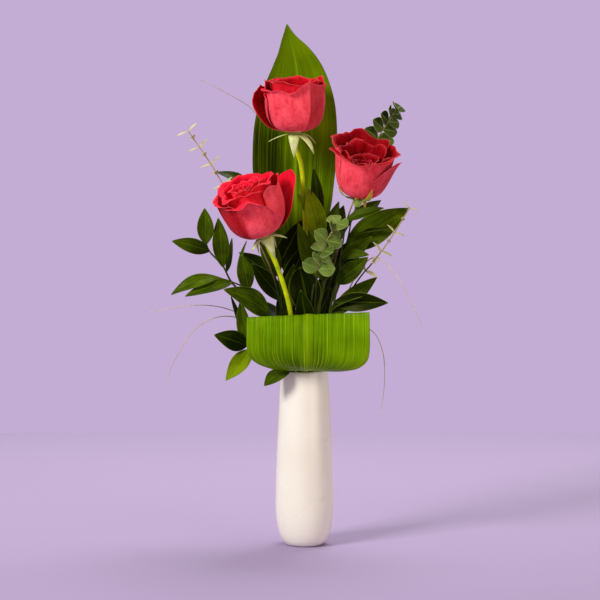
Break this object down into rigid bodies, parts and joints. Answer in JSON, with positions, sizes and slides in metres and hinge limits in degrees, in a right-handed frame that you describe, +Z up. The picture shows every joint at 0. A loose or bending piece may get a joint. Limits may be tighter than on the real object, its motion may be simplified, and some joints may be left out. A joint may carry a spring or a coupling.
{
  "type": "roses in a vase",
  "caption": "Slim tapering vase holding cut red roses with a tall broad leaf, a rolled leaf at the mouth, glossy pointed foliage, round-leaved sprigs and fine grass blades.",
  "frame": {"origin": "centre of the vase's flat foot, where it meets the surface it stands on", "axes": "+Z up along the vase, -Y towards the front of the bouquet, +X to the right seen from the front"},
  "size_m": [0.2847, 0.1467, 0.5482],
  "materials": {
    "glaze": "gloss",
    "petal": "matte",
    "calyx": "satin",
    "rose_stem": "satin",
    "broad_leaf": "satin",
    "ruscus": "satin",
    "eucalyptus": "matte",
    "bear_grass": "matte"
  },
  "bodies": {
    "root": {"aspidistra_rolled_leaf": "broad_leaf", "aspidistra_tall_leaf": "broad_leaf", "eucalyptus_centre": "eucalyptus", "eucalyptus_left": "eucalyptus", "eucalyptus_right_tall": "eucalyptus", "eucalyptus_right_thin": "eucalyptus", "grass_left_high": "bear_grass", "grass_left_low": "bear_grass", "grass_left_middle": "bear_grass", "grass_right_high": "bear_grass", "grass_right_low": "bear_grass", "rose_left_calyx": "calyx", "rose_left_guard_petal_1": "petal", "rose_left_heart": "petal", "rose_left_inner_petal_1": "petal", "rose_left_inner_petal_2": "petal", "rose_left_inner_petal_3": "petal", "rose_left_outer_petal_1": "petal", "rose_left_outer_petal_2": "petal", "rose_left_outer_petal_3": "petal", "rose_left_outer_petal_4": "petal", "rose_left_stem": "rose_stem", "rose_right_calyx": "calyx", "rose_right_guard_petal_1": "petal", "rose_right_heart": "petal", "rose_right_inner_petal_1": "petal", "rose_right_inner_petal_2": "petal", "rose_right_inner_petal_3": "petal", "rose_right_outer_petal_1": "petal", "rose_right_outer_petal_2": "petal", "rose_right_outer_petal_3": "petal", "rose_right_outer_petal_4": "petal", "rose_right_stem": "rose_stem", "rose_top_calyx": "calyx", "rose_top_guard_petal_1": "petal", "rose_top_heart": "petal", "rose_top_inner_petal_1": "petal", "rose_top_inner_petal_2": "petal", "rose_top_inner_petal_3": "petal", "rose_top_outer_petal_1": "petal", "rose_top_outer_petal_2": "petal", "rose_top_outer_petal_3": "petal", "rose_top_outer_petal_4": "petal", "rose_top_stem": "rose_stem", "ruscus_back_left": "ruscus", "ruscus_back_right": "ruscus", "ruscus_centre": "ruscus", "ruscus_front_low": "ruscus", "ruscus_left_behind": "ruscus", "ruscus_left_lower": "ruscus", "ruscus_left_middle": "ruscus", "ruscus_left_upper": "ruscus", "ruscus_right_lower": "ruscus", "ruscus_right_upper": "ruscus", "vase": "glaze"}
  },
  "joints": []
}
